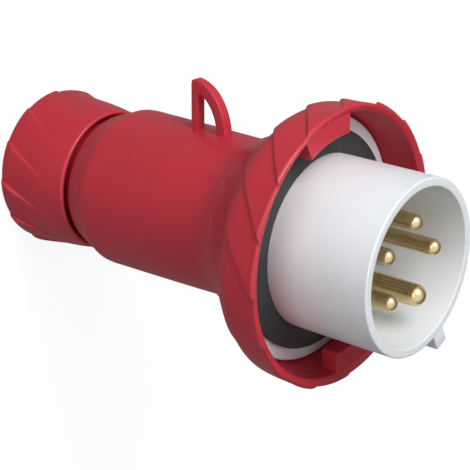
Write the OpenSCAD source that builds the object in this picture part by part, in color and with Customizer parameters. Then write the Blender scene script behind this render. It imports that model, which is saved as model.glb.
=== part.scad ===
// Industrial pin and sleeve plug: five contacts in a shrouded collar, a bayonet
// coupling ring, a hollow handle with a hanging loop, and a cable gland.
// It stands on the rear face of the gland nut, with +Z from the cable towards
// the contacts.  The origin is the centre of that rear face.

/* [Overall] */
// Height from the rear of the gland nut to the rim of the collar
plug_h = 176; // [174:0.5:180]
// Segments used for each full turn of a round piece
round_fn = 96; // [48:8:144]
// Gap left round pieces that turn or slide on each other
run_gap = 0.4; // [0.3:0.05:0.5]
// Gap left between pieces that only seat together
seat_gap = 0.1; // [0.05:0.05:0.2]

/* [Contacts] */
// Radius of the circle that carries the five contacts
contact_circle_r = 15; // [14.5:0.1:15.5]
// Diameter of a phase or neutral contact
pin_d = 6; // [5:0.5:6.5]
// Diameter of the earth contact
earth_d = 8; // [7:0.5:8.5]
// Direction of the earth contact and of the key, from +X
earth_angle = 26.8; // [0:0.1:60]
// Distance of the contact tips below the rim of the collar
tip_recess = 2; // [0.5:0.5:6]
// Wall of a terminal barrel round a phase contact
barrel_wall = 2.2; // [1.8:0.1:2.4]
// Height of the rear end of the terminal barrels
barrel_z = 82; // [78:1:86]
// Depth of the wire hole in a terminal barrel
wire_hole_h = 14; // [10:1:18]
// Diameter of a terminal screw's thread
screw_d = 4; // [3:0.5:4.5]

/* [Collar and flange] */
// Outside radius of the collar
collar_r = 31.6; // [31:0.1:32]
// Wall of the collar
collar_wall = 3.2; // [2.6:0.1:3.6]
// Width of the key on the outside of the collar
key_w = 6; // [4:0.5:7]
// Distance that the key stands out of the collar
key_h = 6.5; // [5:0.5:7]
// Outside radius of the flange behind the collar
flange_r = 45; // [44.5:0.1:45.2]
// Thickness of the rubber gasket against the collar
gasket_t = 4; // [3:0.2:4.4]
// Thickness of the gasket at its outer edge
gasket_edge_t = 1.8; // [1.4:0.2:2.6]
// Outside radius of the gasket
gasket_r = 40.1; // [39:0.1:40.4]

/* [Coupling ring] */
// Outside radius of the ring at its front rim
ring_r = 51.8; // [51:0.1:52]
// Number of grip ridges on the ring
ring_ridges = 16; // [12:1:20]
// Height of a ridge on the ring
ring_ridge_h = 1.1; // [0.6:0.1:1.3]
// Angle covered by one bayonet lug
lug_angle = 30; // [26:1:36]
// Inside radius at the lugs
lug_r = 40.8; // [40.6:0.1:42.5]

/* [Handle] */
// Radius of the handle at its rear shoulder
handle_rear_r = 30.6; // [30.3:0.1:31.2]
// Radius of the handle where it is slimmest
handle_front_r = 29.7; // [29.4:0.1:30.2]
// Wall of the handle
handle_wall = 3; // [2.6:0.1:3.4]
// Height of the hanging loop's rear leg
loop_z = 75; // [70:1:78]
// Length of the hanging loop along the handle
loop_l = 16.5; // [15:0.5:19]
// Radius reached by the top of the hanging loop
loop_r = 48.8; // [46:0.2:50]
// Thickness of the hanging loop
loop_t = 4; // [3:0.5:5]

/* [Gland nut] */
// Height of the nut
nut_h = 31.5; // [30:0.5:32.5]
// Largest radius of the nut, near its rear
nut_r = 31.2; // [30.4:0.1:31.4]
// Radius of the nut at its front rim
nut_front_r = 27.6; // [27.2:0.1:28]
// Number of grip ridges on the nut
nut_ridges = 12; // [8:1:16]
// Height of a ridge on the nut, near its rear
nut_ridge_h = 1; // [0.6:0.1:1.4]
// Radius of the cable passage through the seal
cable_r = 11; // [9:0.5:12]

/* [Hidden] */

red = "firebrick";
pale = "whitesmoke";
brass = "goldenrod";
steel = "silver";
rubber = [0.12, 0.12, 0.13];

// Gland, from the rear of the nut forwards
nut_floor = 4;
nut_hole_r = cable_r + 2.5;
spigot_r = 23;
nut_bore_r = spigot_r + 0.6;
washer_t = 1.5;
washer_z = nut_floor + 0.2;
cage_z = washer_z + washer_t + 0.3;
spigot_z = 8.5;
socket_r = 19;
ledge_z = 30;
ledge_r = 15.5;
cage_r = socket_r - seat_gap * 2;
seal_r = cage_r - 2.9;

// Handle
shoulder_z = 34.6;
shoulder_r = 26.9;
widest_z = 45.3;
cavity_r = handle_front_r - handle_wall + 0.6;
cavity_z = 50;
neck_z = 107.2;
neck_r = 30.2;
lip_r = 31.6;
skirt_z = 98;
skirt_r = 27.5;
front_z = 116;

// Coupling ring
ring_rear_z = neck_z + run_gap;
ring_front_z = plug_h - 30.7;
ring_bore_r = neck_r + run_gap;
ring_cone_z = 112.6;
ring_cone_top = [44.9, 128];
ring_skirt_r = 48.1;
lug_mid = 193;
lug_front_z = ring_front_z - 1.3;
lug_rear_z = ring_front_z - 8.4;

// Insert
flange_z = plug_h - 44.5;
floor_top = 128;
floor_rear = 120;
collar_bore_r = collar_r - collar_wall;
seat_z = front_z + seat_gap;
oring_r = 1.15;
oring_z = 113;
chamber_r = 24;

// Contacts
tip_z = plug_h - tip_recess;
barrel_top = floor_rear - seat_gap;
barrel_r = pin_d / 2 + barrel_wall;
earth_barrel_r = earth_d / 2 + barrel_wall;
screw_z = barrel_z + 6;
carrier_z = 94;
shank_step = 0.6;
wire_r = 3.4;
contact_step = 72;

module turned(profile) {
    rotate_extrude($fn = round_fn) polygon(profile);
}

module ring_of(outer, inner, z0, z1) {
    translate([0, 0, z0]) difference() {
        cylinder(r = outer, h = z1 - z0, $fn = round_fn);
        translate([0, 0, -1]) cylinder(r = inner, h = z1 - z0 + 2, $fn = round_fn);
    }
}

// A solid whose side carries slanting saw-tooth ridges.  Each row gives a
// height, the radius at a crest, and the depth of the groove beside it.  rise
// is 1 where the surface climbs with the angle and then drops, and 0 where it
// jumps up and then falls away.
module ridged_solid(rows, count, start, slant, rise) {
    per = 6;
    land = 0.93;
    n = count * per;
    points = [for (row = rows) for (k = [0:count - 1]) for (j = [0:per - 1])
        let (u = j / (per - 1),
             a = start + slant * row[0] + (k + u * land) * 360 / count,
             r = row[1] - row[2] * (rise == 1 ? 1 - u : u))
        [r * cos(a), r * sin(a), row[0]]];
    sides = [for (i = [0:len(rows) - 2]) for (j = [0:n - 1])
        let (a = i * n + j, b = i * n + (j + 1) % n)
        each [[a, a + n, b + n], [a, b + n, b]]];
    last = (len(rows) - 1) * n;
    middles = [[0, 0, rows[0][0]], [0, 0, rows[len(rows) - 1][0]]];
    rear = [for (j = [0:n - 1]) [j, (j + 1) % n, last + n]];
    front = [for (j = [0:n - 1]) [last + (j + 1) % n, last + j, last + n + 1]];
    polyhedron(points = concat(points, middles), faces = concat(sides, rear, front),
               convexity = 6);
}

// Places its children at one contact, at the given number of steps from earth
module at_contact(step) {
    rotate([0, 0, earth_angle + contact_step * step])
        translate([contact_circle_r, 0, 0]) children();
}

// ---- Cable gland ----

module gland_nut() {
    h = nut_ridge_h;
    rows = [[0, nut_r - 1.9, h * 0.2], [0.8, nut_r - 0.8, h * 0.5],
            [2, nut_r - 0.1, h * 0.8], [4, nut_r, h], [6, nut_r - 0.3, h],
            [12, nut_r - 1.2, h * 0.75], [18, nut_r - 1.9, h * 0.4],
            [24, nut_r - 2.6, h * 0.12], [28, nut_front_r + 0.4, 0],
            [nut_h - 0.8, nut_front_r, 0], [nut_h - 0.2, nut_front_r - 0.3, 0],
            [nut_h, nut_front_r - 0.8, 0]];
    bore = [[0, -1], [nut_hole_r + 2.5, -1], [nut_hole_r, 1.5],
            [nut_hole_r, nut_floor], [nut_bore_r, nut_floor],
            [nut_bore_r, nut_h - 1], [nut_bore_r + 2, nut_h + 1],
            [0, nut_h + 1]];
    color(red) difference() {
        ridged_solid(rows, nut_ridges, -1.5, 1, 0);
        turned(bore);
    }
}

module slip_washer() {
    color("ivory") ring_of(nut_bore_r - 0.8, nut_hole_r - 0.3, washer_z, washer_z + washer_t);
}

// A split sleeve whose fingers the nut presses onto the seal
module clamp_cage() {
    fingers = 10;
    slot_w = 1.6;
    slot_top = cage_z + 16;
    color("gainsboro") difference() {
        turned([[seal_r + seat_gap, cage_z], [cage_r - 1.4, cage_z], [cage_r, cage_z + 3],
                [cage_r, ledge_z - seat_gap], [seal_r + seat_gap, ledge_z - seat_gap]]);
        for (i = [0:fingers - 1]) rotate([0, 0, i * 360 / fingers])
            translate([0, -slot_w / 2, cage_z - 1]) cube([cage_r + 1, slot_w, slot_top - cage_z]);
    }
}

module cable_seal() {
    z0 = cage_z + 0.5;
    z1 = ledge_z - seat_gap;
    color(rubber) turned([[cable_r, z0 + 1], [cable_r + 1, z0], [seal_r, z0],
                          [seal_r, z1], [cable_r, z1]]);
}

// ---- Handle ----

// Outline of the hanging loop in the plane of the axis: a straight rear leg and
// a long curve from the top down to the front.
function loop_outline(foot_r, inset, leg) =
    let (back = loop_z + leg,
         top = loop_r - inset,
         flat = loop_z + 0.5,
         front = loop_z + loop_l - inset,
         turn = asin((back + 1.2 - flat) / (front - flat)),
         corner_r = foot_r + (top - foot_r) * cos(turn) - 1.2)
    concat([[foot_r, back], [corner_r, back]],
           [for (i = [0:10]) let (a = turn + (90 - turn) * i / 10)
               [foot_r + (top - foot_r) * cos(a), flat + (front - flat) * sin(a)]]);

module hanging_loop() {
    foot_r = handle_front_r - 1.5;
    hole_foot_r = handle_front_r + 0.7;
    rotate([0, 0, 180]) rotate([90, 0, 0]) difference() {
        translate([0, 0, -loop_t / 2]) linear_extrude(loop_t) polygon(loop_outline(foot_r, 0, 0));
        translate([0, 0, -loop_t]) linear_extrude(2 * loop_t)
            polygon(loop_outline(hole_foot_r, 4.4, 3.1));
    }
}

module housing() {
    spigot_top = shoulder_z - 1.1;
    outside = [[spigot_r - 0.8, spigot_z], [spigot_r, spigot_z + 0.8], [spigot_r, spigot_top],
               [shoulder_r - 0.4, spigot_top + 0.3], [shoulder_r, shoulder_z],
               [handle_rear_r - 0.6, widest_z - 2.3], [handle_rear_r - 0.2, widest_z - 1.2],
               [handle_rear_r, widest_z], [handle_rear_r - 0.1, widest_z + 4],
               [handle_front_r + 0.4, 80], [handle_front_r, 98],
               [handle_front_r + 0.1, 101.5], [handle_front_r + 0.6, 104.2],
               [lip_r - 0.5, 106.3], [lip_r, neck_z - 0.3], [lip_r - 0.2, neck_z],
               [neck_r, neck_z], [neck_r, front_z]];
    inside = [[skirt_r + run_gap, front_z], [skirt_r + run_gap, skirt_z - 1],
              [cavity_r, skirt_z - 1.6], [cavity_r, cavity_z],
              [cavity_r - 2, cavity_z - 5], [ledge_r, cavity_z - 12], [ledge_r, ledge_z],
              [socket_r, ledge_z], [socket_r, spigot_z]];
    color(red) {
        difference() {
            union() {
                turned(concat(outside, inside));
                hanging_loop();
            }
            translate([0, 0, cavity_z + 1]) cylinder(r = cavity_r, h = 50, $fn = round_fn);
        }
    }
}

// Rubber ring in the groove of the insert's skirt
module housing_seal() {
    color(rubber) translate([0, 0, oring_z]) rotate_extrude($fn = round_fn)
        translate([skirt_r - 0.8, 0]) circle(r = oring_r, $fn = 24);
}

// ---- Coupling ring ----

// The sector that a bayonet lug fills between the ring's bore and its own face
module bayonet_lug(middle) {
    half = lug_angle / 2;
    reach = ring_r + 10;
    intersection() {
        ring_of(ring_skirt_r + 1, lug_r, lug_rear_z, lug_front_z);
        rotate([0, 0, middle]) linear_extrude(plug_h)
            polygon([[0, 0], [reach * cos(half), -reach * sin(half)],
                     [reach * 1.2, 0], [reach * cos(half), reach * sin(half)]]);
    }
}

module coupling_ring() {
    h = ring_ridge_h;
    r = ring_r;
    rim_z = ring_front_z;
    rows = [[ring_rear_z, r - 19.6, 0], [ring_rear_z + 0.5, r - 19.2, 0],
            [110, r - 18.3, h * 0.2], [112, r - 17.1, h * 0.4], [114, r - 15.7, h * 0.6],
            [118, r - 12.4, h * 0.9], [122, r - 8.8, h], [126, r - 5, h], [128, r - 3.4, h],
            [130, r - 2.2, h], [133, r - 1.3, h], [138, r - 0.7, h],
            [rim_z - 2.4, r - 0.2, h], [rim_z - 1, r, h * 0.8], [rim_z - 0.3, r - 0.5, h * 0.5],
            [rim_z, r - 1.1, h * 0.3]];
    bore = [[0, ring_rear_z - 1], [ring_bore_r, ring_rear_z - 1], [ring_bore_r, ring_cone_z],
            ring_cone_top, [46.2, flange_z], [ring_skirt_r - 0.3, 136],
            [ring_skirt_r, lug_front_z], [r - 2.2, rim_z], [r - 2.2, rim_z + 1],
            [0, rim_z + 1]];
    color(red) difference() {
        ridged_solid(rows, ring_ridges, 186.1 - 1.45 * rim_z, 1.45, 1);
        difference() {
            turned(bore);
            bayonet_lug(lug_mid);
            bayonet_lug(lug_mid + 180);
        }
    }
}

// ---- Insert, with the collar ----

module collar_key() {
    top = plug_h - 0.3;
    rear = flange_z + 8;
    rotate([0, 0, earth_angle]) translate([collar_r - 1, -key_w / 2, rear])
        cube([key_h + 1, key_w, top - rear]);
}

module plug_insert() {
    cone = (ring_cone_top[0] - ring_bore_r) / (ring_cone_top[1] - ring_cone_z);
    cone_r = ring_bore_r + (seat_z - ring_cone_z) * cone - 0.5;
    body = [[0, floor_rear], [chamber_r, floor_rear], [chamber_r, skirt_z],
            [skirt_r, skirt_z],
            [skirt_r, oring_z - 1.5], [skirt_r - 2.1, oring_z - 1.5],
            [skirt_r - 2.1, oring_z + 1.5], [skirt_r, oring_z + 1.5],
            [skirt_r, seat_z], [cone_r, seat_z],
            [ring_cone_top[0] - 0.6, ring_cone_top[1]], [flange_r - 0.3, 129],
            [flange_r, flange_z - 0.5], [flange_r - 0.5, flange_z], [collar_r, flange_z],
            [collar_r, plug_h - 0.8], [collar_r - 0.3, plug_h - 0.2], [collar_r - 0.8, plug_h],
            [collar_bore_r + 0.4, plug_h], [collar_bore_r, plug_h - 0.4],
            [collar_bore_r, floor_top + 1],
            [collar_bore_r - 1, floor_top], [0, floor_top]];
    color(pale) difference() {
        union() {
            turned(body);
            collar_key();
        }
        for (step = [0:4]) at_contact(step) translate([0, 0, floor_rear - 1])
            cylinder(r = (step == 0 ? earth_d : pin_d) / 2 + shank_step + seat_gap / 2,
                     h = 12, $fn = 48);
        translate([0, 0, floor_rear - 1]) cylinder(r = 2 + seat_gap / 2, h = 7, $fn = 48);
    }
}

module face_gasket() {
    color(rubber) turned([[collar_r + 0.2, flange_z + 0.02], [gasket_r, flange_z + 0.02],
                          [gasket_r, flange_z + gasket_edge_t - 0.4],
                          [gasket_r - 0.4, flange_z + gasket_edge_t],
                          [collar_r + 1.2, flange_z + gasket_t],
                          [collar_r + 0.2, flange_z + gasket_t]]);
}

// ---- Contacts and terminals ----

// One turned contact: a domed pin, a wider shank in the insert's floor, and
// behind it a barrel for the wire
module contact(d, outer) {
    r = d / 2;
    shank_r = r + shank_step;
    dome = r * 0.85;
    color(brass) difference() {
        rotate_extrude($fn = 48) polygon(concat(
            [[0, barrel_z], [outer - 0.4, barrel_z], [outer, barrel_z + 0.4],
             [outer, barrel_top], [shank_r, barrel_top], [shank_r, floor_top + 0.2],
             [r, floor_top + 0.2], [r, tip_z - dome]],
            [for (i = [1:8]) let (a = 90 * i / 8)
                [r * cos(a), tip_z - dome + dome * sin(a)]]));
        translate([0, 0, barrel_z - 1]) cylinder(r = wire_r, h = wire_hole_h + 1, $fn = 48);
        translate([0, 0, screw_z]) rotate([0, 90, 0])
            cylinder(r = screw_d / 2 + seat_gap / 2, h = outer + 1, $fn = 48);
    }
}

module pin_contact(step) {
    at_contact(step) contact(pin_d, barrel_r);
}

module terminal_screw(step, outer) {
    head_r = 3.3;
    head_h = 2;
    tip = 1.2;
    color(steel) at_contact(step) translate([0, 0, screw_z]) rotate([0, 90, 0]) difference() {
        union() {
            translate([0, 0, tip]) cylinder(r = screw_d / 2, h = outer, $fn = 48);
            translate([0, 0, outer + 0.1]) cylinder(r = head_r, h = head_h, $fn = 48);
        }
        translate([-head_r - 1, -0.5, outer + head_h - 0.8]) cube([2 * head_r + 2, 1, 2]);
    }
}

// The block that holds the terminal barrels inside the insert's skirt
module contact_carrier() {
    color("gainsboro") difference() {
        translate([0, 0, carrier_z])
            cylinder(r = chamber_r - seat_gap * 2, h = barrel_top - carrier_z, $fn = round_fn);
        for (step = [0:4]) at_contact(step) translate([0, 0, carrier_z - 1])
            cylinder(r = (step == 0 ? earth_barrel_r : barrel_r) + seat_gap / 2, h = 40, $fn = 48);
        translate([0, 0, carrier_z - 1]) cylinder(r = 2.2, h = 40, $fn = 48);
        translate([0, 0, carrier_z - 1]) cylinder(r = 4.2, h = 4, $fn = 48);
    }
}

module carrier_screw() {
    head_z = carrier_z + 0.6;
    color(steel) difference() {
        union() {
            translate([0, 0, head_z]) cylinder(r = 3.8, h = 2.3, $fn = 48);
            translate([0, 0, head_z]) cylinder(r = 2, h = 29, $fn = 48);
        }
        for (turn = [0, 90]) rotate([0, 0, turn])
            translate([-2.4, -0.5, head_z - 1]) cube([4.8, 1, 2.2]);
    }
}

gland_nut();
slip_washer();
clamp_cage();
cable_seal();
housing();
housing_seal();
coupling_ring();
plug_insert();
face_gasket();
contact_carrier();
carrier_screw();
pin_contact(1);  // pin_l1
pin_contact(2);  // pin_l2
pin_contact(3);  // pin_l3
pin_contact(4);  // pin_neutral
at_contact(0) contact(earth_d, earth_barrel_r);  // pin_earth
terminal_screw(1, barrel_r);  // screw_l1
terminal_screw(2, barrel_r);  // screw_l2
terminal_screw(3, barrel_r);  // screw_l3
terminal_screw(4, barrel_r);  // screw_neutral
terminal_screw(0, earth_barrel_r);  // screw_earth
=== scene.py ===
"""Looks of a five-pole pin and sleeve plug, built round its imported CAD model."""

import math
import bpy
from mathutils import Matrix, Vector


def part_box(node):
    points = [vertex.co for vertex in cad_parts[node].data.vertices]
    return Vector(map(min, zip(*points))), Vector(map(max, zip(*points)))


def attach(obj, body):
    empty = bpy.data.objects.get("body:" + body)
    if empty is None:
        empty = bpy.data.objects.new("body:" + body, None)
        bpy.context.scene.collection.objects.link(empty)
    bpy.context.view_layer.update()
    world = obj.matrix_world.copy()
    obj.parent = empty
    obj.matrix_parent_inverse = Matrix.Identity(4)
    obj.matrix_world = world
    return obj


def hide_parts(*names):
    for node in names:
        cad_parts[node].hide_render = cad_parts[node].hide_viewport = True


bl_info = {
    "name": "Pin and sleeve plug",
    "version": (1, 0, 0),
    "blender": (4, 5, 0),
    "location": "View3D > Sidebar > Plug",
    "description": "Builds the moulded pieces, contacts and studio of a pin and sleeve plug",
    "category": "Add Mesh",
}

import bmesh
import bpy
import numpy as np
from mathutils import Matrix, Quaternion, Vector

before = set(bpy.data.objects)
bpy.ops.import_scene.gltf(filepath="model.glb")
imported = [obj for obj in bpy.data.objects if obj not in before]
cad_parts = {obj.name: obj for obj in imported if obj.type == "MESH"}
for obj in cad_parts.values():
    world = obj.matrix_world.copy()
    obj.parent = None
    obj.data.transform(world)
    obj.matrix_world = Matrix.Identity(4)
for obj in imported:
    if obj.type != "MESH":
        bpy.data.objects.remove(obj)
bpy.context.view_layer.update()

MM = 0.001

# Meshes: faces round a large and a small turned piece, the angle from which an edge stays
# sharp, the welding distance, the longest step in height of a slanting side, the least turn
# that gets a fillet, and the share of an edge that a fillet may take
ROUND_STEPS = 240
CONTACT_STEPS = 160
SHARP_ANGLE = math.radians(38)
WELD = 0.002 * MM
LONGEST_STEP = 1.8
LEAST_TURN = math.radians(4)
FILLET_SHARE = 0.42

PHASE_PINS = ("pin_l1", "pin_l2", "pin_l3", "pin_neutral")
CONTACT_ANGLE = 72

# Studio: the point that the lamps face, each lamp's place from it and size, the directions
# towards which the room is brightest, the room's share of light on its dark side, and how
# much the floor's paper scatters, glows and shows in mirrors
LIT_POINT = Vector((0, 0, 0.1))
TOP_LAMP = (Vector((-0.68, -0.15, 0.7)), 0.6)
SIDE_LAMP = (Vector((-0.3, -0.85, 0.05)), 0.8)
ROOM_TOP = (-0.76, -0.42, 0.5)
ROOM_FRONT = (-0.35, -0.72, 0.6)
ROOM_DARK_SHARE = 0.15
FLOOR_HALF = 6.0
PAPER_TONE = 0.22
PAPER_GLOW = 0.88
PAPER_MIRRORED = 0.15


def top_of(node):
    """Height of a CAD node's highest point, in millimetres."""
    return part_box(node)[1].z / MM


def foot_of(node):
    """Height of a CAD node's lowest point, in millimetres."""
    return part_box(node)[0].z / MM


# ---- Outlines and meshes ----


def eased(points, parts=4):
    """A smooth curve through rows of numbers, with parts steps between each two rows."""
    rows = np.array(points, float)
    ends = np.vstack([2 * rows[0] - rows[1], rows, 2 * rows[-1] - rows[-2]])
    made = []
    for before, a, b, after in zip(ends, ends[1:], ends[2:], ends[3:]):
        for t in np.arange(parts) / parts:
            made.append(
                0.5 * (2 * a + (b - before) * t
                       + (2 * before - 5 * a + 4 * b - after) * t * t
                       + (3 * a - before - 3 * b + after) * t**3)
            )
    return [tuple(row) for row in made] + [tuple(rows[-1])]


def rounded(corners, default=0.3, arc_parts=4):
    """A closed outline whose corners carry fillets.  A corner is (x, y) or (x, y, radius)."""
    made = []
    count = len(corners)
    for i, corner in enumerate(corners):
        here = Vector(corner[:2])
        before = Vector(corners[i - 1][:2]) - here
        after = Vector(corners[(i + 1) % count][:2]) - here
        radius = corner[2] if len(corner) > 2 else default
        turn = math.pi - before.angle(after)
        if radius <= 0 or turn < LEAST_TURN:
            made.append(tuple(here))
            continue
        longest = FILLET_SHARE * min(before.length, after.length)
        reach = min(radius * math.tan(turn / 2), longest)
        first = here + before.normalized() * reach
        last = here + after.normalized() * reach
        for k in range(arc_parts + 1):
            t = k / arc_parts
            made.append(tuple(first.lerp(here, t).lerp(here.lerp(last, t), t)))
    return made


def lathe_parts(outline, angles, closed_turn):
    """Points and faces of an outline swept through angles.

    An outline row is (radius, height, groove depth, twist), and an angle comes with the
    share of the groove that its crest fills."""
    count = len(outline)
    points = []
    for turn, crest in angles:
        for radius, height, groove, twist in outline:
            a = turn + twist
            r = (radius - groove * (1 - crest)) * MM
            points.append((r * math.cos(a), r * math.sin(a), height * MM))
    columns = len(angles)
    faces = []
    for j in range(columns if closed_turn else columns - 1):
        k = (j + 1) % columns
        for i in range(count):
            n = (i + 1) % count
            faces.append((j * count + i, k * count + i, k * count + n, j * count + n))
    return points, faces


def finished(mesh):
    """Welds a mesh, turns its faces outwards and shades it."""
    work = bmesh.new()
    work.from_mesh(mesh)
    bmesh.ops.remove_doubles(work, verts=work.verts, dist=WELD)
    bmesh.ops.dissolve_degenerate(work, edges=work.edges, dist=WELD)
    loose = [edge for edge in work.edges if not edge.link_faces]
    bmesh.ops.delete(work, geom=loose, context="EDGES")
    bmesh.ops.recalc_face_normals(work, faces=work.faces)
    if work.calc_volume(signed=True) < 0:
        bmesh.ops.reverse_faces(work, faces=work.faces)
    work.to_mesh(mesh)
    work.free()
    mesh.shade_smooth()
    mesh.set_sharp_from_angle(angle=SHARP_ANGLE)
    return mesh


def new_piece(name, points, faces):
    mesh = bpy.data.meshes.new(name)
    mesh.from_pydata([tuple(p) for p in points], [], faces)
    piece = bpy.data.objects.new(name, mesh)
    bpy.context.scene.collection.objects.link(piece)
    return piece


def turned_piece(name, outline, steps=ROUND_STEPS, middle=(0, 0)):
    """A solid of revolution from a closed outline of (radius, height) in millimetres."""
    rows = [(max(r, 0), z, 0, 0) for r, z in outline]
    turns = [(2 * math.pi * k / steps, 1) for k in range(steps)]
    points, faces = lathe_parts(rows, turns, True)
    points = [(x + middle[0] * MM, y + middle[1] * MM, z) for x, y, z in points]
    piece = new_piece(name, points, faces)
    finished(piece.data)
    return piece


def slab_piece(name, outer, inner, thickness, place):
    """A flat frame between two outlines of the same number of points, or a plate without inner."""
    count = len(outer)
    half = thickness / 2
    loops = [outer] if inner is None else [outer, inner]
    points = [(x * MM, y * MM, side * half * MM)
              for loop in loops for side in (-1, 1) for x, y in loop]
    faces = []
    for i in range(count):
        n = (i + 1) % count
        faces.append((i, n, count + n, count + i))
        if inner is not None:
            faces.append((2 * count + i, 3 * count + i, 3 * count + n, 2 * count + n))
            faces.append((i, 2 * count + i, 2 * count + n, n))
            faces.append((count + i, count + n, 3 * count + n, 3 * count + i))
    if inner is None:
        faces += [tuple(range(count)), tuple(range(2 * count - 1, count - 1, -1))]
    piece = new_piece(name, points, faces)
    piece.data.transform(place)
    return piece


def bevelled(piece, width, segments, limit):
    """Rounds the edges that turn by more than limit degrees, and keeps the result as a mesh."""
    finished(piece.data)
    bevel = piece.modifiers.new("edges", "BEVEL")
    bevel.width = width * MM
    bevel.segments = segments
    bevel.limit_method = "ANGLE"
    bevel.angle_limit = math.radians(limit)
    return made_plain(piece)


def made_plain(piece):
    """Turns the evaluated object into a plain mesh and takes its modifiers off."""
    depsgraph = bpy.context.evaluated_depsgraph_get()
    mesh = bpy.data.meshes.new_from_object(piece.evaluated_get(depsgraph))
    piece.modifiers.clear()
    old = piece.data
    piece.data = mesh
    bpy.data.meshes.remove(old)
    mesh.name = piece.name
    finished(mesh)
    return piece


# ---- Repeats round the axis ----


def round_axis_tree():
    """Geometry Nodes tree that copies a piece round the Z axis and welds the copies."""
    name = "copies_round_axis"
    if name in bpy.data.node_groups:
        return bpy.data.node_groups[name]
    tree = bpy.data.node_groups.new(name, "GeometryNodeTree")
    face = tree.interface
    face.new_socket("Geometry", in_out="INPUT", socket_type="NodeSocketGeometry")
    face.new_socket("Copies", in_out="INPUT", socket_type="NodeSocketInt").default_value = 1
    for label in ("Step Angle", "First Angle", "Weld Distance"):
        face.new_socket(label, in_out="INPUT", socket_type="NodeSocketFloat")
    face.new_socket("Finish", in_out="INPUT", socket_type="NodeSocketMaterial")
    face.new_socket("Geometry", in_out="OUTPUT", socket_type="NodeSocketGeometry")
    add, link = tree.nodes.new, tree.links.new
    given, out = add("NodeGroupInput"), add("NodeGroupOutput")
    points, place = add("GeometryNodePoints"), add("GeometryNodeInstanceOnPoints")
    index, turn = add("GeometryNodeInputIndex"), add("ShaderNodeMath")
    turn.operation = "MULTIPLY_ADD"
    spin, rotation = add("ShaderNodeCombineXYZ"), add("FunctionNodeEulerToRotation")
    real, weld = add("GeometryNodeRealizeInstances"), add("GeometryNodeMergeByDistance")
    finish = add("GeometryNodeSetMaterial")
    link(given.outputs["Copies"], points.inputs["Count"])
    link(points.outputs[0], place.inputs["Points"])
    link(given.outputs["Geometry"], place.inputs["Instance"])
    link(index.outputs[0], turn.inputs[0])
    link(given.outputs["Step Angle"], turn.inputs[1])
    link(given.outputs["First Angle"], turn.inputs[2])
    link(turn.outputs[0], spin.inputs["Z"])
    link(spin.outputs[0], rotation.inputs[0])
    link(rotation.outputs[0], place.inputs["Rotation"])
    link(given.outputs["Weld Distance"], weld.inputs["Distance"])
    link(place.outputs[0], real.inputs[0])
    link(real.outputs[0], weld.inputs["Geometry"])
    link(weld.outputs[0], finish.inputs["Geometry"])
    link(given.outputs["Finish"], finish.inputs["Material"])
    link(finish.outputs[0], out.inputs[0])
    return tree


def copied_round_axis(piece, copies, step, first, finish):
    """Repeats a piece round the axis with Geometry Nodes, as one plain mesh."""
    tree = round_axis_tree()
    modifier = piece.modifiers.new("copies", "NODES")
    modifier.node_group = tree
    values = {"Copies": copies, "Step Angle": math.radians(step),
              "First Angle": math.radians(first), "Weld Distance": WELD, "Finish": finish}
    for item in tree.interface.items_tree:
        if item.in_out == "INPUT" and item.name in values:
            modifier[item.identifier] = values[item.name]
    return made_plain(piece)


# Share of the ridge's height at each share of the way round it: a slow climb, a
# rounded crest and a short drop
RIDGE_SHAPE = ((0, 0), (0.05, 0.04), (0.12, 0.12), (0.22, 0.24), (0.34, 0.38), (0.46, 0.52),
               (0.58, 0.66), (0.7, 0.79), (0.78, 0.87), (0.84, 0.935), (0.88, 0.975),
               (0.91, 1), (0.93, 0.96), (0.945, 0.82), (0.958, 0.6), (0.971, 0.36),
               (0.984, 0.14), (1, 0))


def short_steps(outline):
    """A closed outline with rows added, so that a slanting side keeps its radius."""
    made = []
    for row, after in zip(outline, outline[1:] + outline[:1]):
        parts = max(1, math.ceil(abs(after[1] - row[1]) / LONGEST_STEP))
        made += [tuple(a + (b - a) * k / parts for a, b in zip(row, after)) for k in range(parts)]
    return made


def ridged_piece(name, outline, ridges, slant, start, falling, finish):
    """A turned piece whose side carries slanting saw-tooth ridges.

    outline is a closed list of (radius, height, groove depth).  slant is in degrees for
    each millimetre of height, and start the angle of a seam at height 0."""
    step = 360 / ridges
    shape = [(1 - u, s) for u, s in reversed(RIDGE_SHAPE)] if falling else RIDGE_SHAPE
    angles = [(math.radians(u * step), s) for u, s in shape]
    rows = [(r, z, groove, math.radians(slant * z)) for r, z, groove in short_steps(outline)]
    points, faces = lathe_parts(rows, angles, False)
    piece = new_piece(name, points, faces)
    return copied_round_axis(piece, ridges, step, start, finish)


# ---- Shader groups and finishes ----


def shader_group(name, inputs, outputs):
    """A shader node group with named float inputs and outputs."""
    tree = bpy.data.node_groups.new(name, "ShaderNodeTree")
    for label, value in inputs:
        tree.interface.new_socket(
            label, in_out="INPUT", socket_type="NodeSocketFloat").default_value = value
    for label in outputs:
        tree.interface.new_socket(label, in_out="OUTPUT", socket_type="NodeSocketFloat")
    return tree, tree.nodes.new("NodeGroupInput"), tree.nodes.new("NodeGroupOutput")


def grain_group():
    """Fine spark-eroded grain of a moulded surface, and its slow variation."""
    name = "moulded_grain"
    if name in bpy.data.node_groups:
        return bpy.data.node_groups[name]
    tree, given, out = shader_group(
        name, [("Grain Scale", 2400), ("Cloud Scale", 38), ("Seed", 0)], ["Grain", "Cloud"])
    add, link = tree.nodes.new, tree.links.new
    place = add("ShaderNodeTexCoord")
    for label, scale, detail in (("Grain", "Grain Scale", 3), ("Cloud", "Cloud Scale", 2)):
        noise = add("ShaderNodeTexNoise")
        noise.noise_dimensions = "4D"
        noise.inputs["Detail"].default_value = detail
        link(place.outputs["Object"], noise.inputs["Vector"])
        link(given.outputs[scale], noise.inputs["Scale"])
        link(given.outputs["Seed"], noise.inputs["W"])
        link(noise.outputs[0], out.inputs[label])
    return tree


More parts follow.
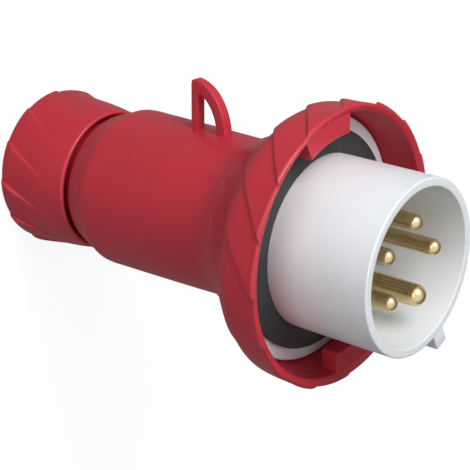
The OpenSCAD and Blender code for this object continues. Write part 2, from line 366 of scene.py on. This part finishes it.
def edge_group():
    """Mask of the proud edges, where a lighter colour is mixed in as a painted highlight."""
    name = "rubbed_edges"
    if name in bpy.data.node_groups:
        return bpy.data.node_groups[name]
    tree, given, out = shader_group(
        name, [("Start", 0.52), ("Full", 0.6), ("Break Scale", 160)], ["Edge"])
    add, link = tree.nodes.new, tree.links.new
    shape, reach = add("ShaderNodeNewGeometry"), add("ShaderNodeMapRange")
    place, noise, mixed = add("ShaderNodeTexCoord"), add("ShaderNodeTexNoise"), add("ShaderNodeMath")
    link(shape.outputs["Pointiness"], reach.inputs["Value"])
    link(given.outputs["Start"], reach.inputs["From Min"])
    link(given.outputs["Full"], reach.inputs["From Max"])
    link(place.outputs["Object"], noise.inputs["Vector"])
    link(given.outputs["Break Scale"], noise.inputs["Scale"])
    mixed.operation = "MULTIPLY"
    link(reach.outputs[0], mixed.inputs[0])
    link(noise.outputs[0], mixed.inputs[1])
    link(mixed.outputs[0], out.inputs["Edge"])
    return tree


def scratch_group():
    """Fine turning marks that run round the axis."""
    name = "turning_marks"
    if name in bpy.data.node_groups:
        return bpy.data.node_groups[name]
    tree, given, out = shader_group(name, [("Pitch", 2600), ("Wander", 24)], ["Marks"])
    add, link = tree.nodes.new, tree.links.new
    place, parts = add("ShaderNodeTexCoord"), add("ShaderNodeSeparateXYZ")
    spread, joined, noise = add("ShaderNodeMath"), add("ShaderNodeCombineXYZ"), add("ShaderNodeTexNoise")
    spread.operation = "MULTIPLY"
    link(place.outputs["Object"], parts.inputs[0])
    link(parts.outputs["Z"], spread.inputs[0])
    link(given.outputs["Pitch"], spread.inputs[1])
    link(spread.outputs[0], joined.inputs["Z"])
    for axis in "XY":
        slow = add("ShaderNodeMath")
        slow.operation = "MULTIPLY"
        link(parts.outputs[axis], slow.inputs[0])
        link(given.outputs["Wander"], slow.inputs[1])
        link(slow.outputs[0], joined.inputs[axis])
    link(joined.outputs[0], noise.inputs["Vector"])
    noise.inputs["Scale"].default_value = 1
    link(noise.outputs[0], out.inputs["Marks"])
    return tree


def new_finish(name):
    """An empty material with its Principled shader."""
    finish = bpy.data.materials.new(name)
    finish.use_nodes = True
    return finish, finish.node_tree, finish.node_tree.nodes["Principled BSDF"]


def placed(tree, group, **values):
    """A node of a shader group, with its inputs set."""
    node = tree.nodes.new("ShaderNodeGroup")
    node.node_tree = group
    for label, value in values.items():
        node.inputs[label.replace("_", " ")].default_value = value
    return node


def mixed_colour(tree, mask, low, high):
    """A colour that runs from low to high with a mask.  Either may be a socket."""
    mix = tree.nodes.new("ShaderNodeMix")
    mix.data_type = "RGBA"
    tree.links.new(mask, mix.inputs["Factor"])
    for socket, colour in zip((s for s in mix.inputs if s.type == "RGBA"), (low, high)):
        if isinstance(colour, bpy.types.NodeSocket):
            tree.links.new(colour, socket)
        else:
            socket.default_value = (*colour, 1)
    return next(s for s in mix.outputs if s.type == "RGBA")


def ranged(tree, value, low, high, start=0.3, end=0.7):
    """Maps a value from start and end to low and high."""
    node = tree.nodes.new("ShaderNodeMapRange")
    tree.links.new(value, node.inputs["Value"])
    for label, number in (("From Min", start), ("From Max", end), ("To Min", low), ("To Max", high)):
        node.inputs[label].default_value = number
    return node.outputs[0]


def raised(tree, shader, height, depth):
    """Bumps a shader's surface by a height map, depth millimetres deep."""
    bump = tree.nodes.new("ShaderNodeBump")
    bump.inputs["Distance"].default_value = depth * MM
    tree.links.new(height, bump.inputs["Height"])
    tree.links.new(bump.outputs[0], shader.inputs["Normal"])


def shade(colour, factor):
    """A colour made darker or lighter."""
    return tuple(min(1.0, c * factor) for c in colour)


def moulded_finish(name, colour, roughness, grain_depth, edge_highlight, seed):
    """Moulded plastic: spark-eroded grain, slow mottling and a painted highlight in a lighter colour on
    proud edges.
    """
    if name in bpy.data.materials:
        return bpy.data.materials[name]
    finish, tree, shader = new_finish(name)
    grain = placed(tree, grain_group(), Grain_Scale=2400, Cloud_Scale=38, Seed=seed)
    edges = placed(tree, edge_group(), Start=0.515, Full=0.62, Break_Scale=160)
    cloud = ranged(tree, grain.outputs["Cloud"], 0, 1)
    body = mixed_colour(tree, cloud, shade(colour, 0.95), shade(colour, 1.04))
    # Proud edges take the lighter edge colour: a painted highlight.
    tree.links.new(mixed_colour(tree, edges.outputs["Edge"], body, edge_highlight), shader.inputs["Base Color"])
    tree.links.new(ranged(tree, grain.outputs["Cloud"], roughness + 0.03, roughness - 0.03),
                   shader.inputs["Roughness"])
    raised(tree, shader, grain.outputs["Grain"], grain_depth)
    return finish


def rubber_finish(name, colour):
    """Matt rubber with a pale bloom in patches."""
    if name in bpy.data.materials:
        return bpy.data.materials[name]
    finish, tree, shader = new_finish(name)
    grain = placed(tree, grain_group(), Grain_Scale=1500, Cloud_Scale=60, Seed=4)
    bloom = ranged(tree, grain.outputs["Cloud"], 0, 1)
    tree.links.new(mixed_colour(tree, bloom, shade(colour, 0.85), shade(colour, 1.25)),
                   shader.inputs["Base Color"])
    tree.links.new(ranged(tree, grain.outputs["Cloud"], 0.72, 0.56), shader.inputs["Roughness"])
    raised(tree, shader, grain.outputs["Grain"], 0.03)
    return finish


def metal_finish(name, colour, dull, roughness, pitch, depth):
    """Turned metal with fine marks round the axis and a slight tarnish."""
    if name in bpy.data.materials:
        return bpy.data.materials[name]
    finish, tree, shader = new_finish(name)
    marks = placed(tree, scratch_group(), Pitch=pitch, Wander=24)
    grain = placed(tree, grain_group(), Grain_Scale=900, Cloud_Scale=150, Seed=7)
    tarnish = ranged(tree, grain.outputs["Cloud"], 0, 1)
    tree.links.new(mixed_colour(tree, tarnish, colour, dull), shader.inputs["Base Color"])
    tree.links.new(ranged(tree, marks.outputs["Marks"], roughness - 0.03, roughness + 0.04),
                   shader.inputs["Roughness"])
    raised(tree, shader, marks.outputs["Marks"], depth)
    shader.inputs["Metallic"].default_value = 1
    return finish


# ---- Settings ----


def colour_setting(name, description, default):
    """A colour property."""
    return bpy.props.FloatVectorProperty(
        name=name, description=description, subtype="COLOR", size=3, min=0, max=1, default=default)


def length_setting(name, description, default):
    """A length property whose default is given in millimetres."""
    return bpy.props.FloatProperty(
        name=name, description=description, unit="LENGTH", precision=5, default=default * MM)


class PlugSizes(bpy.types.PropertyGroup):
    ring_ridges: bpy.props.IntProperty(
        name="Ring ridges", description="Grip ridges on the coupling ring", default=16, min=8, max=24)
    ring_slant: bpy.props.FloatProperty(
        name="Ring slant", description="Slant of the ring's ridges, in degrees per millimetre",
        default=1.45)
    ring_ridge_depth: length_setting("Ring ridge height", "Height of a ridge on the ring", 1.1)
    nut_ridges: bpy.props.IntProperty(
        name="Nut ridges", description="Grip ridges on the gland nut", default=12, min=8, max=24)
    nut_slant: bpy.props.FloatProperty(
        name="Nut slant", description="Slant of the nut's ridges, in degrees per millimetre",
        default=1.0)
    nut_ridge_depth: length_setting("Nut ridge height", "Height of a ridge near the nut's rear", 1)
    lug_angle: bpy.props.FloatProperty(
        name="Lug angle", description="Direction of the first bayonet lug, in degrees from +X",
        default=193)
    loop_edge: length_setting("Loop edge", "Rounding of the hanging loop's edges", 0.8)
    key_edge: length_setting("Key edge", "Rounding of the collar key's edges", 0.5)
    key_angle: bpy.props.FloatProperty(
        name="Key angle", description="Direction of the key and of the earth contact, from +X",
        subtype="ANGLE", default=math.radians(26.8))
    contact_circle: length_setting("Contact circle", "Radius of the circle of contacts", 15)


class PlugColours(bpy.types.PropertyGroup):
    # Red plastic whose green and blue are raised to paint in a pale sheen over its own red.
    body_red: colour_setting("Red plastic", "Handle, nut and coupling ring", (0.53, 0.026, 0.046))
    # A lighter red mixed in along proud edges as a painted highlight.
    edge_highlight_red: colour_setting("Red edge highlight", "Lighter red painted as a highlight on proud edges", (0.74, 0.06, 0.07))
    insert_white: colour_setting("White plastic", "Collar and flange", (0.82, 0.85, 0.88))
    nylon_white: colour_setting("White nylon", "Slip washer", (0.74, 0.72, 0.66))
    nylon_grey: colour_setting("Grey nylon", "Contact carrier and clamp cage", (0.4, 0.41, 0.42))
    rubber_black: colour_setting("Black rubber", "Gasket and seals", (0.03, 0.032, 0.034))
    brass: colour_setting("Brass", "Contacts", (0.8, 0.62, 0.34))
    steel: colour_setting("Zinc steel", "Screws", (0.62, 0.62, 0.6))


class PlugStudio(bpy.types.PropertyGroup):
    camera_place: bpy.props.FloatVectorProperty(
        name="Camera place", description="Where the camera stands", unit="LENGTH",
        default=(-0.19143, -0.40920, 0.43593))
    camera_aim: bpy.props.FloatVectorProperty(
        name="Camera aim", description="Point that the camera looks at", unit="LENGTH",
        default=(0.00464, -0.00645, 0.09997))
    camera_roll: bpy.props.FloatProperty(
        name="Camera roll", description="Turn of the camera about its own axis",
        subtype="ANGLE", default=math.radians(106.61))
    camera_lens: bpy.props.FloatProperty(
        name="Lens", description="Focal length in millimetres on a 36 mm sensor", default=117.65)
    key_power: bpy.props.FloatProperty(
        name="Key lamp", description="Power of the main softbox, in watts", default=6.9)
    fill_power: bpy.props.FloatProperty(
        name="Fill lamp", description="Power of the side softbox, in watts", default=2.3)
    room_light: bpy.props.FloatProperty(
        name="Room light", description="Level of the light from all round", default=0.5)


def finishes():
    """The materials, by the record's slot names."""
    c = bpy.context.scene.plug_colours
    # Lighter whites and grey for the painted highlight on proud edges.
    white_edge_highlight = shade(c.insert_white, 1.05)
    return {
        "red_plastic": moulded_finish(
            "red_plastic_moulded", c.body_red, roughness=0.4, grain_depth=0.02,
            edge_highlight=tuple(c.edge_highlight_red), seed=1),
        "white_plastic": moulded_finish(
            "white_plastic_moulded", c.insert_white, roughness=0.36, grain_depth=0.012,
            edge_highlight=white_edge_highlight, seed=2),
        "white_nylon": moulded_finish(
            "white_nylon_moulded", c.nylon_white, roughness=0.4, grain_depth=0.01,
            edge_highlight=white_edge_highlight, seed=3),
        "grey_nylon": moulded_finish(
            "grey_nylon_moulded", c.nylon_grey, roughness=0.45, grain_depth=0.02,
            edge_highlight=shade(c.nylon_grey, 1.2), seed=5),
        "black_rubber": rubber_finish("black_rubber_moulded", c.rubber_black),
        "contact_brass": metal_finish(
            "contact_brass_turned", tuple(c.brass), dull=shade(c.brass, 0.86), roughness=0.24,
            pitch=900, depth=0.001),
        "zinc_steel": metal_finish(
            "zinc_steel_plated", tuple(c.steel), dull=shade(c.steel, 0.85), roughness=0.34,
            pitch=900, depth=0.004),
    }


def handed_over(piece, slot, body, *nodes):
    """Gives a finished piece its material and its place in the frame."""
    finish = finishes()[slot]
    piece.data.materials.clear()
    piece.data.materials.append(finish)
    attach(piece, body)
    if nodes:
        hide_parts(*nodes)
    return piece


# ---- Pieces ----


class PLUG_OT_gland_nut(bpy.types.Operator):
    """Builds the ridged gland nut"""

    bl_idname = "plug.gland_nut"
    bl_label = "Gland nut"

    def execute(self, context):
        sizes = context.scene.plug_sizes
        h = sizes.nut_ridge_depth / MM
        top = top_of("gland_nut")
        side = eased([(29.3, 0.0, h * 0.2), (30.4, 0.75, h * 0.5), (31, 2, h * 0.8), (31.14, 3.8, h),
                      (30.9, 6, h * 0.95), (30, 12, h * 0.6), (29.3, 18, h * 0.25),
                      (28.6, 24, h * 0.06), (28, 28, 0), (27.65, top - 1.1, 0)])
        front = [(27.55, top - 0.7, 0), (27.35, top - 0.3, 0), (27, top - 0.05, 0), (26.6, top, 0),
                 (26.2, top - 0.15, 0), (25.9, top - 0.6, 0), (24.2, top - 4.4, 0),
                 (23.8, top - 4.9, 0), (23.6, top - 5.4, 0)]
        inside = [(23.6, 5, 0), (23.4, 4.3, 0), (22.8, 4, 0), (14, 4, 0), (13.6, 3.8, 0),
                  (13.5, 3.4, 0), (13.5, 1.6, 0), (13.9, 0.8, 0), (14.8, 0.1, 0), (15.4, 0, 0), (24, 0, 0),
                  (27.6, 0, 0)]
        seam = -1.5 - 0.07 * 360 / sizes.nut_ridges
        nut = ridged_piece("gland_nut_ridged", side + front + inside, sizes.nut_ridges,
                           sizes.nut_slant, seam, True, finishes()["red_plastic"])
        handed_over(nut, "red_plastic", "gland", "gland_nut")
        return {"FINISHED"}


class PLUG_OT_housing(bpy.types.Operator):
    """Builds the handle with its shoulder, front lip and hanging loop"""

    bl_idname = "plug.housing"
    bl_label = "Housing and hanging loop"

    def execute(self, context):
        sizes = context.scene.plug_sizes
        outside = [(22.2, 8.5, 0.2), (23, 9.3, 0.2), (23, 33.5, 0.1), (26.2, 33.7, 0.3),
                   (26.7, 34.8, 0.6), (29.6, 42.9, 2.2), (30.42, 44.9, 1.6), (30.57, 47.2, 2),
                   (30.5, 50, 2)]
        waist = eased([(30.48, 51, 0), (30.3, 66, 0), (30.08, 80, 0), (29.88, 90, 0),
                       (29.7, 98, 0), (29.8, 101.5, 0), (30.3, 104.2, 0), (31.1, 106.3, 0)], 5)
        front = [(31.6, 106.7, 0.3), (31.6, 107.1, 0.2), (30.4, 107.2, 0.1), (30.2, 107.4, 0.1),
                 (30.2, 116, 0.3)]
        inside = [(27.9, 116, 0.3), (27.9, 97, 0.2), (27.4, 96.4, 0.2), (27.4, 50, 1), (25.4, 45, 1),
                  (15.5, 38, 0.6), (15.5, 30, 0.3), (19, 30, 0.2), (19, 8.5, 0.3)]
        shell = turned_piece("housing_shell", rounded(outside + waist + front + inside))
        self.dimpled(shell.data, radius=29.3, height=41.9, angle=259.5, width=1.45, depth=0.8)
        handed_over(shell, "red_plastic", "plug", "housing")
        upright = Matrix.Rotation(math.pi, 4, "Z") @ Matrix.Rotation(math.pi / 2, 4, "X")
        outer, inner = self.outline(foot=28.2), self.outline(foot=28.8, inset=4.4, leg=3.1)
        loop = slab_piece("hanging_loop", outer, inner, 4, upright)
        handed_over(bevelled(loop, sizes.loop_edge / MM, 4, 28), "red_plastic", "plug")
        return {"FINISHED"}

    @staticmethod
    def dimpled(mesh, radius, height, angle, width, depth):
        """Presses a round moulding dimple into the shoulder, on a finer patch of faces."""
        turn = math.radians(angle)
        middle = Vector((radius * math.cos(turn), radius * math.sin(turn), height)) * MM
        inward = Vector((-math.cos(turn), -math.sin(turn), 0.34)).normalized()
        patch, inner_wall = (width + 0.6) * MM, (radius - 3) * MM
        work = bmesh.new()
        work.from_mesh(mesh)
        for _ in range(4):
            near = []
            for edge in work.edges:
                halfway = sum((v.co for v in edge.verts), Vector()) / 2
                reach = patch + edge.calc_length() / 2
                if (halfway - middle).length < reach and halfway.xy.length > inner_wall:
                    near.append(edge)
            bmesh.ops.subdivide_edges(work, edges=near, cuts=1, use_grid_fill=True)
        for vert in work.verts:
            away = (vert.co - middle).length / (width * MM)
            if away < 1:
                vert.co += inward * depth * MM * (1 - away**3)
        bmesh.ops.triangulate(work, faces=[f for f in work.faces if len(f.verts) > 4])
        work.to_mesh(mesh)
        work.free()
        finished(mesh)

    @staticmethod
    def outline(foot, inset=0, leg=0):
        """The loop's outline: a straight rear leg, and a long curve down to the front.

        foot is the radius at which it starts inside the wall, inset the loop's width at the
        top and front, and leg its width at the rear."""
        back, top, flat, front = 75 + leg, 48.8 - inset, 75.5, 91.5 - inset
        turn = math.asin((back + 1.2 - flat) / (front - flat))
        corner = foot + (top - foot) * math.cos(turn)
        curve = [(foot + (top - foot) * math.cos(a), flat + (front - flat) * math.sin(a))
                 for a in (turn + (math.pi / 2 - turn) * k / 24 for k in range(25))]
        return [(foot, back), (corner - 1.2, back), (corner - 0.35, back + 0.35)] + curve


class PLUG_OT_coupling_ring(bpy.types.Operator):
    """Builds the ridged coupling ring and its bayonet lugs"""

    bl_idname = "plug.coupling_ring"
    bl_label = "Coupling ring"

    def execute(self, context):
        sizes = context.scene.plug_sizes
        h = sizes.ring_ridge_depth / MM
        r = 51.8
        foot, top = foot_of("coupling_ring"), top_of("coupling_ring")
        side = eased([(r - 19.2, foot + 0.4, 0), (r - 18.3, 110, h * 0.2), (r - 17.1, 112, h * 0.4),
                      (r - 15.7, 114, h * 0.6), (r - 12.4, 118, h * 0.9), (r - 8.8, 122, h),
                      (r - 5.1, 126, h), (r - 3.4, 128, h), (r - 2.2, 130, h), (r - 1.35, 133, h),
                      (r - 0.75, 138, h), (r - 0.25, top - 2.8, h), (r - 0.06, top - 1.4, h * 0.9)])
        rim = [(r - 0.12, top - 1, h * 0.8), (r - 0.35, top - 0.55, h * 0.65),
               (r - 0.7, top - 0.2, h * 0.5), (r - 1.1, top - 0.03, h * 0.35), (r - 1.5, top, h * 0.2),
               (r - 2.1, top - 0.15, 0.1), (49, top - 0.6, 0), (48.4, top - 1.05, 0),
               (48.18, top - 1.25, 0), (48.1, top - 1.5, 0)]
        bore = [(47.9, 138, 0), (47.7, 136, 0), (47, 133.5, 0), (46.2, 131.6, 0), (45.7, 130.2, 0),
                (44.9, 128.1, 0), (43.6, 126.5, 0), (31, 113, 0), (30.6, 112.4, 0), (30.6, 108, 0),
                (30.8, foot + 0.05, 0), (31.2, foot, 0), (r - 20, foot, 0), (r - 19.5, foot + 0.1, 0)]
        red = finishes()["red_plastic"]
        seam = 186.1 - sizes.ring_slant * top
        ring = ridged_piece("coupling_ring_ridged", side + rim + bore, sizes.ring_ridges,
                            sizes.ring_slant, seam, False, red)
        handed_over(ring, "red_plastic", "ring", "coupling_ring")
        lugs = copied_round_axis(self.lug(top), 2, 180, sizes.lug_angle, red)
        handed_over(lugs, "red_plastic", "ring")
        return {"FINISHED"}

    @staticmethod
    def lug(top):
        """One bayonet lug, standing across the +X direction."""
        section = rounded([(48.4, top - 8.4), (40.8, top - 8.4, 0.5), (40.8, top - 1.3, 0.6),
                           (48.4, top - 1.32)], 0.1)
        half, steps, count = math.radians(15), 24, len(section)
        turns = [(-half + 2 * half * k / steps, 1) for k in range(steps + 1)]
        points, faces = lathe_parts([(x, z, 0, 0) for x, z in section], turns, False)
        last = steps * count
        faces += [tuple(range(count)), tuple(range(last + count - 1, last - 1, -1))]
        return bevelled(new_piece("bayonet_lugs", points, faces), 0.4, 3, 60)


class PLUG_OT_insert(bpy.types.Operator):
    """Builds the white insert: flange, collar and key"""

    bl_idname = "plug.insert"
    bl_label = "Insert and key"

    def execute(self, context):
        sizes = context.scene.plug_sizes
        top = top_of("plug_insert")
        body = rounded([(0, 120, 0), (24, 120), (24, 98), (27.5, 98), (27.5, 111.5), (25.4, 111.5),
                        (25.4, 114.5), (27.5, 114.5), (27.5, 116.1), (33.35, 116.1),
                        (44.3, 128, 0.8), (44.7, 129, 0.6), (45, 131, 0.4), (44.5, 131.5, 0.4),
                        (31.6, 131.5, 0.2), (31.6, top, 0.7), (28.4, top, 0.4),
                        (28.4, 128, 1), (0, 128, 0)], 0.3, 5)
        insert = turned_piece("insert_body", body)
        handed_over(insert, "white_plastic", "plug", "plug_insert")
        foot, end = 139.5, top - 0.3
        plate = [(30.6, foot), (38.1, foot), (38.1, end), (30.6, end)]
        upright = Matrix.Rotation(sizes.key_angle, 4, "Z") @ Matrix.Rotation(math.pi / 2, 4, "X")
        key = slab_piece("collar_key", plate, None, 6, upright)
        handed_over(bevelled(key, sizes.key_edge / MM, 3, 25), "white_plastic", "plug")
        return {"FINISHED"}


class PLUG_OT_gasket(bpy.types.Operator):
    """Builds the rubber gasket on the flange"""

    bl_idname = "plug.gasket"
    bl_label = "Face gasket"

    def execute(self, context):
        foot, top = foot_of("face_gasket"), top_of("face_gasket")
        outline = rounded([(31.8, foot), (40.1, foot), (40.1, top - 2.2, 0.5), (32.8, top, 0.4),
                           (31.8, top, 0.2)], 0.2, 4)
        handed_over(turned_piece("face_gasket_rubber", outline), "black_rubber", "plug", "face_gasket")
        return {"FINISHED"}


class PLUG_OT_contacts(bpy.types.Operator):
    """Builds the five brass contacts"""

    bl_idname = "plug.contacts"
    bl_label = "Contacts"

    def execute(self, context):
        sizes = context.scene.plug_sizes
        circle = sizes.contact_circle / MM
        key = math.degrees(sizes.key_angle)
        finish = finishes()["contact_brass"]
        phase = self.contact("phase_contacts", 3, 5.2, circle)
        phases = copied_round_axis(phase, len(PHASE_PINS), CONTACT_ANGLE, key + CONTACT_ANGLE, finish)
        handed_over(phases, "contact_brass", "plug", *PHASE_PINS)
        earth = self.contact("earth_contact", 4, 6.2, circle)
        handed_over(copied_round_axis(earth, 1, 0, key, finish), "contact_brass", "plug", "pin_earth")
        return {"FINISHED"}

    @staticmethod
    def contact(name, r, barrel, circle):
        """A turned contact on +X: a domed pin, and behind it the terminal barrel."""
        foot, tip = foot_of("pin_earth"), top_of("pin_earth")
        cap = [(r * math.cos(a), tip - r + r * math.sin(a))
               for a in (math.pi / 2 * k / 14 for k in range(15))]
        outline = ([(0, foot + 14), (3.4, foot + 14), (3.4, foot), (barrel - 0.4, foot),
                    (barrel, foot + 0.4), (barrel, 119.9), (r + 0.6, 119.9), (r + 0.6, 128.2),
                    (r, 128.2), (r, tip - r - 0.2)] + cap)
        return turned_piece(name, outline, CONTACT_STEPS, (circle, 0))


class PLUG_OT_fittings(bpy.types.Operator):
    """Finishes the inner pieces that keep their CAD shapes"""

    bl_idname = "plug.fittings"
    bl_label = "Inner fittings"

    def execute(self, context):
        slots = {"slip_washer": "white_nylon", "clamp_cage": "grey_nylon",
                 "cable_seal": "black_rubber", "housing_seal": "black_rubber",
                 "contact_carrier": "grey_nylon", "carrier_screw": "zinc_steel"}
        ends = ("l1", "l2", "l3", "neutral", "earth")
        slots.update({f"screw_{end}": "zinc_steel" for end in ends})
        made = finishes()
        for node, slot in slots.items():
            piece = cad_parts[node]
            piece.data.materials.clear()
            piece.data.materials.append(made[slot])
        return {"FINISHED"}


# ---- Stage ----


def seen_directly(tree, level, mirrored):
    """A level for camera rays, a second one for mirror rays, and 0 for the light that bounces."""
    path = tree.nodes.new("ShaderNodeLightPath")
    mirror, total = tree.nodes.new("ShaderNodeMath"), tree.nodes.new("ShaderNodeMath")
    mirror.operation, total.operation = "MULTIPLY", "MULTIPLY_ADD"
    tree.links.new(path.outputs["Is Glossy Ray"], mirror.inputs[0])
    if isinstance(mirrored, bpy.types.NodeSocket):
        tree.links.new(mirrored, mirror.inputs[1])
    else:
        mirror.inputs[1].default_value = mirrored
    tree.links.new(path.outputs["Is Camera Ray"], total.inputs[0])
    total.inputs[1].default_value = level
    tree.links.new(mirror.outputs[0], total.inputs[2])
    return total.outputs[0]


class PLUG_OT_stage(bpy.types.Operator):
    """Sets the pale floor, the soft lamps and the camera"""

    bl_idname = "plug.stage"
    bl_label = "Studio stage"

    def execute(self, context):
        studio = context.scene.plug_studio
        context.scene.view_settings.view_transform = "Standard"
        self.floor()
        self.world(studio.room_light)
        self.lamp("top_softbox", *TOP_LAMP, studio.key_power)
        self.lamp("side_softbox", *SIDE_LAMP, studio.fill_power)
        self.camera(context, studio)
        return {"FINISHED"}

    @staticmethod
    def floor():
        """A sheet of pale paper that glows to white for the camera and still takes a shadow."""
        half = FLOOR_HALF
        floor = new_piece("floor", [(-half, -half, 0), (half, -half, 0), (half, half, 0),
                                    (-half, half, 0)], [(0, 1, 2, 3)])
        material = bpy.data.materials.new("floor_paper")
        material.use_nodes = True
        tree = material.node_tree
        tree.nodes.clear()
        paper, glow = tree.nodes.new("ShaderNodeBsdfDiffuse"), tree.nodes.new("ShaderNodeEmission")
        joined, out = tree.nodes.new("ShaderNodeAddShader"), tree.nodes.new("ShaderNodeOutputMaterial")
        paper.inputs["Color"].default_value = (PAPER_TONE, PAPER_TONE, PAPER_TONE, 1)
        tree.links.new(seen_directly(tree, PAPER_GLOW, PAPER_MIRRORED), glow.inputs["Strength"])
        tree.links.new(paper.outputs[0], joined.inputs[0])
        tree.links.new(glow.outputs[0], joined.inputs[1])
        tree.links.new(joined.outputs[0], out.inputs["Surface"])
        floor.data.materials.append(material)

    @staticmethod
    def world(level):
        """Light from all round that fades towards the underside, behind plain white.

        Mirrors see it white at the front and darker behind the plug."""
        world = bpy.data.worlds.new("studio_room")
        bpy.context.scene.world = world
        world.use_nodes = True
        tree = world.node_tree
        place, lift = tree.nodes.new("ShaderNodeTexCoord"), tree.nodes.new("ShaderNodeMath")
        lift.operation = "MAXIMUM"

        def towards(direction):
            along = tree.nodes.new("ShaderNodeVectorMath")
            along.operation = "DOT_PRODUCT"
            along.inputs[1].default_value = direction
            tree.links.new(place.outputs["Generated"], along.inputs[0])
            return along.outputs["Value"]

        fade = ranged(tree, towards(ROOM_TOP), level * ROOM_DARK_SHARE, level, -0.5, 0.6)
        mirrored = ranged(tree, towards(ROOM_FRONT), ROOM_DARK_SHARE, 1.0, -0.2, 0.6)
        tree.links.new(fade, lift.inputs[0])
        tree.links.new(seen_directly(tree, 1.0, mirrored), lift.inputs[1])
        back = tree.nodes["Background"]
        back.inputs["Color"].default_value = (1, 1, 1, 1)
        tree.links.new(lift.outputs[0], back.inputs["Strength"])

    @staticmethod
    def lamp(name, away, size, power):
        """A round softbox that faces the plug from a distance away."""
        data = bpy.data.lights.new(name, "AREA")
        data.shape = "DISK"
        data.size = size
        data.energy = power
        lamp = bpy.data.objects.new(name, data)
        lamp.location = LIT_POINT + away
        lamp.rotation_euler = (-away).to_track_quat("-Z", "Y").to_euler()
        bpy.context.scene.collection.objects.link(lamp)

    @staticmethod
    def camera(context, studio):
        """A camera at its place, aimed and rolled."""
        data = bpy.data.cameras.new("camera")
        data.sensor_width = 36
        data.lens = studio.camera_lens
        data.clip_start, data.clip_end = 0.01, 50
        camera = bpy.data.objects.new("camera", data)
        place, aim = Vector(studio.camera_place), Vector(studio.camera_aim)
        camera.location = place
        camera.rotation_mode = "QUATERNION"
        level = (aim - place).to_track_quat("-Z", "Y")
        camera.rotation_quaternion = level @ Quaternion((0, 0, 1), studio.camera_roll)
        context.scene.collection.objects.link(camera)
        context.scene.camera = camera


OPERATORS = (PLUG_OT_gland_nut, PLUG_OT_housing, PLUG_OT_coupling_ring, PLUG_OT_insert,
             PLUG_OT_gasket, PLUG_OT_contacts, PLUG_OT_fittings, PLUG_OT_stage)


class PLUG_PT_panel(bpy.types.Panel):
    """Lists the plug's sizes, colours and pieces"""

    bl_idname = "PLUG_PT_panel"
    bl_label = "Pin and sleeve plug"
    bl_space_type = "VIEW_3D"
    bl_region_type = "UI"
    bl_category = "Plug"

    def draw(self, context):
        for label, group in (("Sizes", "plug_sizes"), ("Colours", "plug_colours"),
                             ("Studio", "plug_studio")):
            box = self.layout.box()
            box.label(text=label)
            settings = getattr(context.scene, group)
            for name in settings.__class__.__annotations__:
                box.prop(settings, name)
        for operator in OPERATORS:
            self.layout.operator(operator.bl_idname)


SETTINGS = {"plug_sizes": PlugSizes, "plug_colours": PlugColours, "plug_studio": PlugStudio}


def register():
    for cls in (*SETTINGS.values(), *OPERATORS, PLUG_PT_panel):
        bpy.utils.register_class(cls)
    for name, group in SETTINGS.items():
        setattr(bpy.types.Scene, name, bpy.props.PointerProperty(type=group))


def unregister():
    for name in SETTINGS:
        delattr(bpy.types.Scene, name)
    for cls in (PLUG_PT_panel, *reversed(OPERATORS), *SETTINGS.values()):
        bpy.utils.unregister_class(cls)


def main():
    register()
    for operator in OPERATORS:
        group, name = operator.bl_idname.split(".")
        getattr(getattr(bpy.ops, group), name)()


if __name__ == "__main__":
    main()
